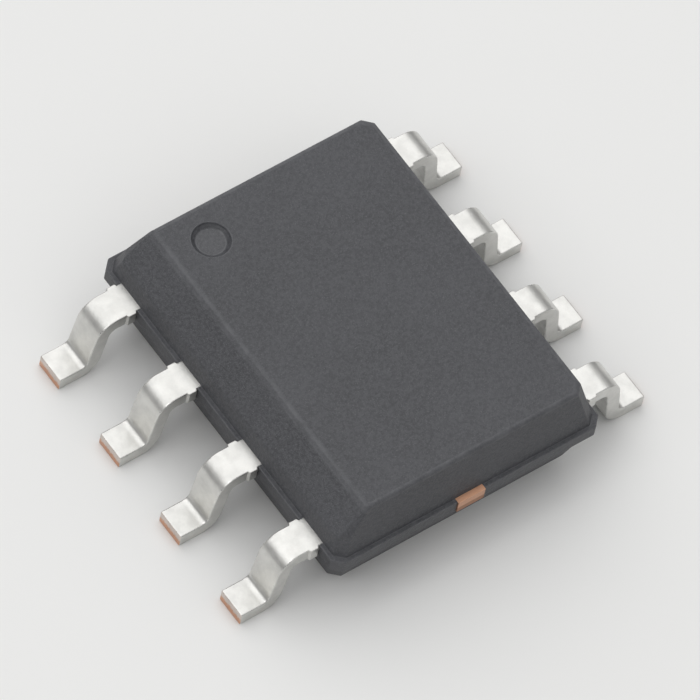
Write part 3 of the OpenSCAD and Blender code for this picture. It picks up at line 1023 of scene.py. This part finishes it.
def resin_material(f, s):
    """Moulding compound: spark-eroded grain, silica specks, rubbed edges and a painted highlight
    along the bevel's top edge.

    The index recess is smoother, and the broken gate is dusty and rougher.
    """
    material, n, shader = new_material("Moulding compound")
    at = n.place()
    x, y, z = n.axes(at)
    grain = n.group(fine_grain_group(), Place=at, Scale=2.4e4)
    tone = n.group(mottle_group(), Place=at, Scale=700.0)["Tone"]
    # The edge mask takes in the bevel's top edge, where it paints a highlight as well as rubbed
    # compound
    edge = n.math("MAXIMUM", own_edge(n), bevel_highlight_and_wear(n, s, x, z))
    wear = n.group(edge_wear_group(), Place=at, Edge=edge, Scale=5e3, Amount=0.7)["Wear"]
    polished = recess_face(n, s, x, y, z)
    broken = broken_gate(n, s, x, y, z)

    dust, gate_dust, speck = 0.5, 0.6, 0.9
    base = n.mix(tone, shade(f.resin, 0.9), shade(f.resin, 1.12))
    dusty = n.span(grain["Height"], 0.35, 0.65, 0.0, dust)
    dusty = n.math("MULTIPLY_ADD", broken, gate_dust, dusty, clamp=True)
    base = n.mix(dusty, base, f.resin_light)
    base = n.mix(n.math("MULTIPLY", grain["Specks"], speck), base, f.resin_light)
    # Lighter on rubbed edges, and a painted highlight along the bevel's top edge
    n.feed(shader, "Base Color", n.mix(wear, base, f.resin_light))

    smoother, rubbed, levelled = 0.16, 0.12, 0.8
    rough = n.vary(grain["Height"], f.resin_rough - 0.05, f.resin_rough + 0.06)
    rough = n.math("SUBTRACT", rough, n.math("MULTIPLY", polished, smoother))
    rough = n.math("SUBTRACT", rough, n.math("MULTIPLY", wear, rubbed))
    n.feed(shader, "Roughness", rough)
    keep = n.math("SUBTRACT", 1.0, n.math("MULTIPLY", polished, levelled))
    keep = n.math("ADD", keep, broken)
    add_bump(n, shader, n.math("MULTIPLY", grain["Height"], keep), depth=0.013 * MM)
    return material


def lead_material(f, s):
    """Matte tin outside the body and bare copper alloy inside, silvered at the fingers' tips.

    The copper also shows at the tips of the feet, which are cut after plating, below the tin
    that the cut dragged down over them. The dam bar is cut before plating.
    """
    material, n, shader = new_material("Plated leads")
    at = n.place()
    x, y, z = n.axes(at)
    grain = n.group(fine_grain_group(), Place=at, Scale=4.5e4)
    tone = n.group(mottle_group(), Place=at, Scale=5e3)["Tone"]
    wear = n.group(edge_wear_group(), Place=at, Edge=own_edge(n), Scale=1.6e4, Amount=0.5)["Wear"]
    far = n.math("ABSOLUTE", x)
    skin, ragged, drag_low, drag_high = 0.004 * MM, 0.1 * MM, 0.13 * MM, 0.17 * MM

    tip = n.span(far, s.tip_x - 3 * skin, s.tip_x - skin)
    drag = n.math("MULTIPLY_ADD", n.noise(at, 2.2e4, 3.0), ragged, z)
    tip = n.math("MULTIPLY", tip, n.span(drag, drag_low, drag_high, 1.0, 0.2))
    inside = n.fall(far, s.root_x, s.root_x + skin)
    bare = n.math("MAXIMUM", tip, inside, clamp=True)

    window_y = n.fall(n.math("ABSOLUTE", y), s.silver_y, s.silver_y + skin)
    window = n.math("MULTIPLY", n.fall(far, s.silver_x, s.silver_x + skin), window_y)
    face = n.span(z, s.sheet_z + s.sheet / 2 - skin, s.sheet_z + s.sheet / 2 - skin / 4)
    silver = n.math("MULTIPLY", window, face)

    plated = n.mix(tone, shade(f.tin, 0.86), f.tin)
    metal = n.mix(tone, shade(f.copper, 0.92), f.copper)
    n.feed(shader, "Base Color", n.mix(silver, n.mix(bare, plated, metal), f.plating))
    n.feed(shader, "Metallic", 1.0)
    rough = n.vary(grain["Height"], f.tin_rough - 0.06, f.tin_rough + 0.08)
    rough = n.math("SUBTRACT", rough, n.math("MULTIPLY", wear, 0.12))
    n.feed(shader, "Roughness", n.math("MULTIPLY_ADD", silver, -0.08, rough))
    add_bump(n, shader, grain["Height"], depth=0.0016 * MM)
    return material


def copper_material(f, s):
    """Copper alloy of the die pad and tie bars: rolled lines along the strip, sheared ends.

    The lower part of a sheared end is torn, darker and rougher.
    """
    material, n, shader = new_material("Copper strip")
    at = n.place()
    _, y, z = n.axes(at)
    rolled = n.stretched_noise(at, (1.0, 0.03, 1.0), 7e4)
    sheared = n.stretched_noise(at, (1.0, 1.0, 0.1), 5e4)
    outside, fade, torn_h = s.half_l + s.ledge, 0.01 * MM, 0.03 * MM
    end = n.span(n.math("ABSOLUTE", y), outside, outside + fade)
    lines = n.math("MULTIPLY_ADD", end, n.math("SUBTRACT", sheared, rolled), rolled)
    torn = n.math("MULTIPLY", end, n.fall(z, s.parting_z - torn_h, s.parting_z))
    tone = n.group(mottle_group(), Place=at, Scale=2500.0)["Tone"]
    base = n.mix(tone, shade(f.copper, 0.92), f.copper)
    n.feed(shader, "Base Color", n.mix(torn, base, shade(f.copper, 0.62)))
    n.feed(shader, "Metallic", 1.0)
    n.feed(shader, "Roughness", n.math("MULTIPLY_ADD", torn, 0.15, n.vary(lines, 0.28, 0.36)))
    add_bump(n, shader, lines, depth=0.0008 * MM)
    return material


def silver_paste_material(f):
    """Cured adhesive filled with silver flakes."""
    material, n, shader = new_material("Silver adhesive")
    grain = n.group(fine_grain_group(), Place=n.place(), Scale=3.5e4)
    n.feed(shader, "Base Color", n.mix(grain["Height"], shade(f.silver, 0.7), f.silver))
    n.feed(shader, "Metallic", n.span(grain["Specks"], 0.0, 1.0, 0.3, 0.8))
    n.feed(shader, "Roughness", n.vary(grain["Height"], 0.4, 0.6))
    add_bump(n, shader, grain["Height"], depth=0.004 * MM)
    return material


def circuit_colour(n, f, w, s, at, x, y):
    """Colour of the die's face: blocks of small cells, metal between them, and bond pads."""
    blocks = n.bricks(at, width=0.34 * MM, height=0.26 * MM, gap=0.012 * MM)
    cells = n.bricks(at, width=0.05 * MM, height=0.03 * MM, gap=0.006 * MM)
    tint = n.mix(n.noise(at, 2.5e3, 1.0), f.silicon, f.oxide)
    tint = n.mix(n.math("MULTIPLY", cells["Color"], 0.35), tint, f.aluminium)
    tint = n.mix(blocks["Color"], tint, n.mix(0.4, f.silicon, f.oxide))
    metal, soft = blocks["Fac"], 0.003 * MM
    for number in range(1, LEAD_COUNT + 1):
        ball, _ = bond_points(w, s, number)
        away = n.math("MAXIMUM", n.away(x, ball[0]), n.away(y, ball[1]))
        pad = n.fall(away, w.pad_half, w.pad_half + soft)
        metal = n.math("MAXIMUM", metal, pad)
    return n.mix(metal, tint, f.aluminium)


def silicon_material(f, w, s):
    """Silicon: sawn sides, and a face with circuits inside the plain street along its edges."""
    material, n, shader = new_material("Silicon")
    at = n.place()
    x, y, z = n.axes(at)
    layers, street_w = 0.004 * MM, 0.03 * MM
    face = n.span(z, w.die_top - layers, w.die_top - layers / 4)
    edge_x = n.math("SUBTRACT", w.die_half_w, n.math("ABSOLUTE", x))
    edge_y = n.math("SUBTRACT", w.die_half_l, n.math("ABSOLUTE", y))
    street = n.fall(n.math("MINIMUM", edge_x, edge_y), street_w, street_w + layers)
    base = n.mix(street, circuit_colour(n, f, w, s, at, x, y), f.silicon)
    n.feed(shader, "Base Color", n.mix(face, f.silicon, base))
    n.feed(shader, "Metallic", 0.7)
    n.feed(shader, "Roughness", n.span(face, 0.0, 1.0, 0.5, 0.24))
    saw = n.stretched_noise(at, (0.1, 0.1, 1.0), 6e4)
    sawn = n.math("MULTIPLY", saw, n.math("SUBTRACT", 1.0, face))
    add_bump(n, shader, sawn, depth=0.003 * MM)
    return material


def gold_material(f):
    """Drawn gold wire."""
    material, n, shader = new_material("Gold wire")
    grain = n.group(fine_grain_group(), Place=n.place(), Scale=9e4)
    n.feed(shader, "Base Color", n.mix(grain["Height"], shade(f.gold, 0.85), f.gold))
    n.feed(shader, "Metallic", 1.0)
    n.feed(shader, "Roughness", n.vary(grain["Height"], 0.18, 0.3))
    add_bump(n, shader, grain["Height"], depth=0.0004 * MM)
    return material


def finish_node(node, material):
    """Gives a carried-over solid its material."""
    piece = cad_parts[node]
    piece.data.materials.clear()
    piece.data.materials.append(material)


# ---------------------------------------------------------------- operators


class CHIP_OT_moulded_body(bpy.types.Operator):
    """Make the epoxy body with its ledge, bevel, index recess and gate stub"""

    bl_idname = "chip.moulded_body"
    bl_label = "Moulded body"

    def execute(self, context):
        s = context.scene.chip_body
        rows, edge = body_rows(s)
        gate, gate_edge = gate_rows(s)
        piece = solid("epoxy_body", [tube(rows, edge), tube(gate, gate_edge)])
        piece.data.materials.append(resin_material(context.scene.chip_finishes, s))
        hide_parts("moulded_body")
        return {"FINISHED"}


class CHIP_OT_leads(bpy.types.Operator):
    """Make the eight gull-wing leads with their inner fingers"""

    bl_idname = "chip.leads"
    bl_label = "Leads"

    def execute(self, context):
        s = context.scene.chip_leads
        material = lead_material(context.scene.chip_finishes, s)
        middle = tube(*lead_rows(s, False)[:2])
        corner = pierced_tube(*lead_rows(s, True), *lock_wall(s))
        for number in range(1, LEAD_COUNT + 1):
            left, place = lead_place(number)
            y = ((IN_ROW - 1) / 2 - place) * s.pitch
            points, edge, faces = corner if place in (0, IN_ROW - 1) else middle
            sx, sy = (-1 if left else 1), (1 if y > 0 else -1)
            points = points * (sx, sy, 1) + np.array([0, y, 0])
            piece = solid(f"bent_lead_{number}", [(points, edge, faces)], sx * sy < 0)
            piece.data.materials.append(material)
            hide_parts(f"lead_{number}")
        return {"FINISHED"}


class CHIP_OT_bond_wires(bpy.types.Operator):
    """Make the eight bond wires, each with its ball, loop and stitch"""

    bl_idname = "chip.bond_wires"
    bl_label = "Bond wires"

    def execute(self, context):
        w = context.scene.chip_wires
        material = gold_material(context.scene.chip_finishes)
        for number in range(1, LEAD_COUNT + 1):
            rows = wire_rows(w, *bond_points(w, context.scene.chip_leads, number))
            piece = solid(f"gold_wire_{number}", [tube(rows, 0.0)])
            piece.data.materials.append(material)
            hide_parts(f"bond_wire_{number}")
        return {"FINISHED"}


class CHIP_OT_inner_parts(bpy.types.Operator):
    """Finish the die pad, the adhesive and the die"""

    bl_idname = "chip.inner_parts"
    bl_label = "Inner parts"

    def execute(self, context):
        scene = context.scene
        f = scene.chip_finishes
        finish_node("die_pad", copper_material(f, scene.chip_body))
        finish_node("die_attach", silver_paste_material(f))
        finish_node("die", silicon_material(f, scene.chip_wires, scene.chip_leads))
        return {"FINISHED"}


class CHIP_OT_stage(bpy.types.Operator):
    """Lay the floor, place the camera and hang the lights"""

    bl_idname = "chip.stage"
    bl_label = "Stage"

    def execute(self, context):
        scene = context.scene
        g = scene.chip_stage
        self.floor(scene, g)
        self.camera(scene, g)
        self.world(scene, g)
        self.lamp(scene, "key", place=(0.03, 0.11, 0.14), side=0.24, power=g.key_power)
        self.lamp(scene, "fill", place=(-0.13, 0.02, 0.15), side=0.10, power=g.fill_power)
        scene.view_settings.view_transform = "Standard"
        return {"FINISHED"}

    def floor(self, scene, g):
        """A flat square at the height of the feet."""
        h = g.floor_size / 2
        corners = np.array([[-h, -h, 0], [h, -h, 0], [h, h, 0], [-h, h, 0]])
        mesh = bpy.data.meshes.new("floor")
        mesh.from_pydata(corners.tolist(), [], [[0, 1, 2, 3]])
        floor = bpy.data.objects.new("floor", mesh)
        scene.collection.objects.link(floor)
        material, n, shader = new_material("Floor")
        paper = n.noise(n.place(), 900.0, 3.0)
        light = tuple(min(1.0, c) for c in shade(g.floor, 1.01))
        n.feed(shader, "Base Color", n.mix(paper, g.floor, light))
        n.feed(shader, "Roughness", 0.8)
        mesh.materials.append(material)

    def camera(self, scene, g):
        """A long lens at the chosen azimuth, elevation and roll."""
        low, high = (Vector(corner) for corner in CAD_BOX)
        centre = (low + high) / 2
        az, el = g.azimuth, g.elevation
        back = Vector((math.sin(az) * math.cos(el), -math.cos(az) * math.cos(el), math.sin(el)))
        right = Vector((math.cos(az), math.sin(az), 0.0))
        up = back.cross(right)
        turned = right * math.cos(g.roll) + up * math.sin(g.roll)
        up = back.cross(turned)
        data = bpy.data.cameras.new("camera")
        data.sensor_width = 36.0
        data.lens = data.sensor_width * g.distance / g.view_w
        near, far = 0.01, 100
        data.clip_start = g.distance * near
        data.clip_end = g.distance * far
        camera = bpy.data.objects.new("camera", data)
        axes = Matrix((turned, up, back)).transposed().to_4x4()
        camera.matrix_world = Matrix.Translation(centre + back * g.distance) @ axes
        scene.collection.objects.link(camera)
        scene.camera = camera

    def world(self, scene, g):
        """A pale world, brighter overhead, with its own brightness behind the floor."""
        world = bpy.data.worlds.new("world")
        world.use_nodes = True
        world.node_tree.nodes.clear()
        n = Nodes(world.node_tree)
        toward = n.add("ShaderNodeTexCoord").outputs["Generated"]
        overhead = 0.9
        dome = n.span(n.axes(toward)[2], 0.0, overhead, g.horizon, g.zenith)
        path = n.add("ShaderNodeLightPath").outputs["Is Camera Ray"]
        background = n.add("ShaderNodeBackground")
        n.feed(background, "Color", (1.0, 1.0, 1.0))
        seen = n.math("MULTIPLY", path, n.math("SUBTRACT", g.backdrop, dome))
        n.feed(background, "Strength", n.math("ADD", dome, seen))
        output = n.add("ShaderNodeOutputWorld")
        n.feed(output, "Surface", background.outputs[0])
        scene.world = world

    def lamp(self, scene, name, place, side, power):
        """A square soft lamp that is turned to the chip."""
        data = bpy.data.lights.new(name, "AREA")
        data.size = side
        data.energy = power
        lamp = bpy.data.objects.new(name, data)
        lamp.location = place
        lamp.rotation_mode = "QUATERNION"
        lamp.rotation_quaternion = (-Vector(place)).to_track_quat("-Z", "Y")
        scene.collection.objects.link(lamp)


class CHIP_PT_panel(bpy.types.Panel):
    """The chip's pieces and sizes"""

    bl_idname = "CHIP_PT_panel"
    bl_label = "Chip"
    bl_space_type = "VIEW_3D"
    bl_region_type = "UI"
    bl_category = "Chip"

    def draw(self, context):
        for operator in OPERATORS:
            self.layout.operator(operator.bl_idname)
        for group in GROUPS:
            settings = getattr(context.scene, GROUPS[group])
            box = self.layout.box()
            box.label(text=group.__doc__.rstrip("."))
            for name in group.__annotations__:
                box.prop(settings, name)


GROUPS = {
    ChipBodySizes: "chip_body",
    ChipLeadSizes: "chip_leads",
    ChipWireSizes: "chip_wires",
    ChipFinishes: "chip_finishes",
    ChipStageSettings: "chip_stage",
}
OPERATORS = (
    CHIP_OT_moulded_body,
    CHIP_OT_leads,
    CHIP_OT_bond_wires,
    CHIP_OT_inner_parts,
    CHIP_OT_stage,
)


def register():
    """Registers every class and hangs the settings on the scene."""
    for cls in (*GROUPS, *OPERATORS, CHIP_PT_panel):
        bpy.utils.register_class(cls)
    for group, name in GROUPS.items():
        setattr(bpy.types.Scene, name, bpy.props.PointerProperty(type=group))


def unregister():
    """Takes everything back."""
    for name in GROUPS.values():
        delattr(bpy.types.Scene, name)
    for cls in (CHIP_PT_panel, *reversed(OPERATORS), *GROUPS):
        bpy.utils.unregister_class(cls)


def main():
    """Makes all pieces and sets the stage."""
    register()
    bpy.ops.chip.moulded_body()
    bpy.ops.chip.leads()
    bpy.ops.chip.bond_wires()
    bpy.ops.chip.inner_parts()
    bpy.ops.chip.stage()
    bpy.context.view_layer.update()


if __name__ == "__main__":
    main()
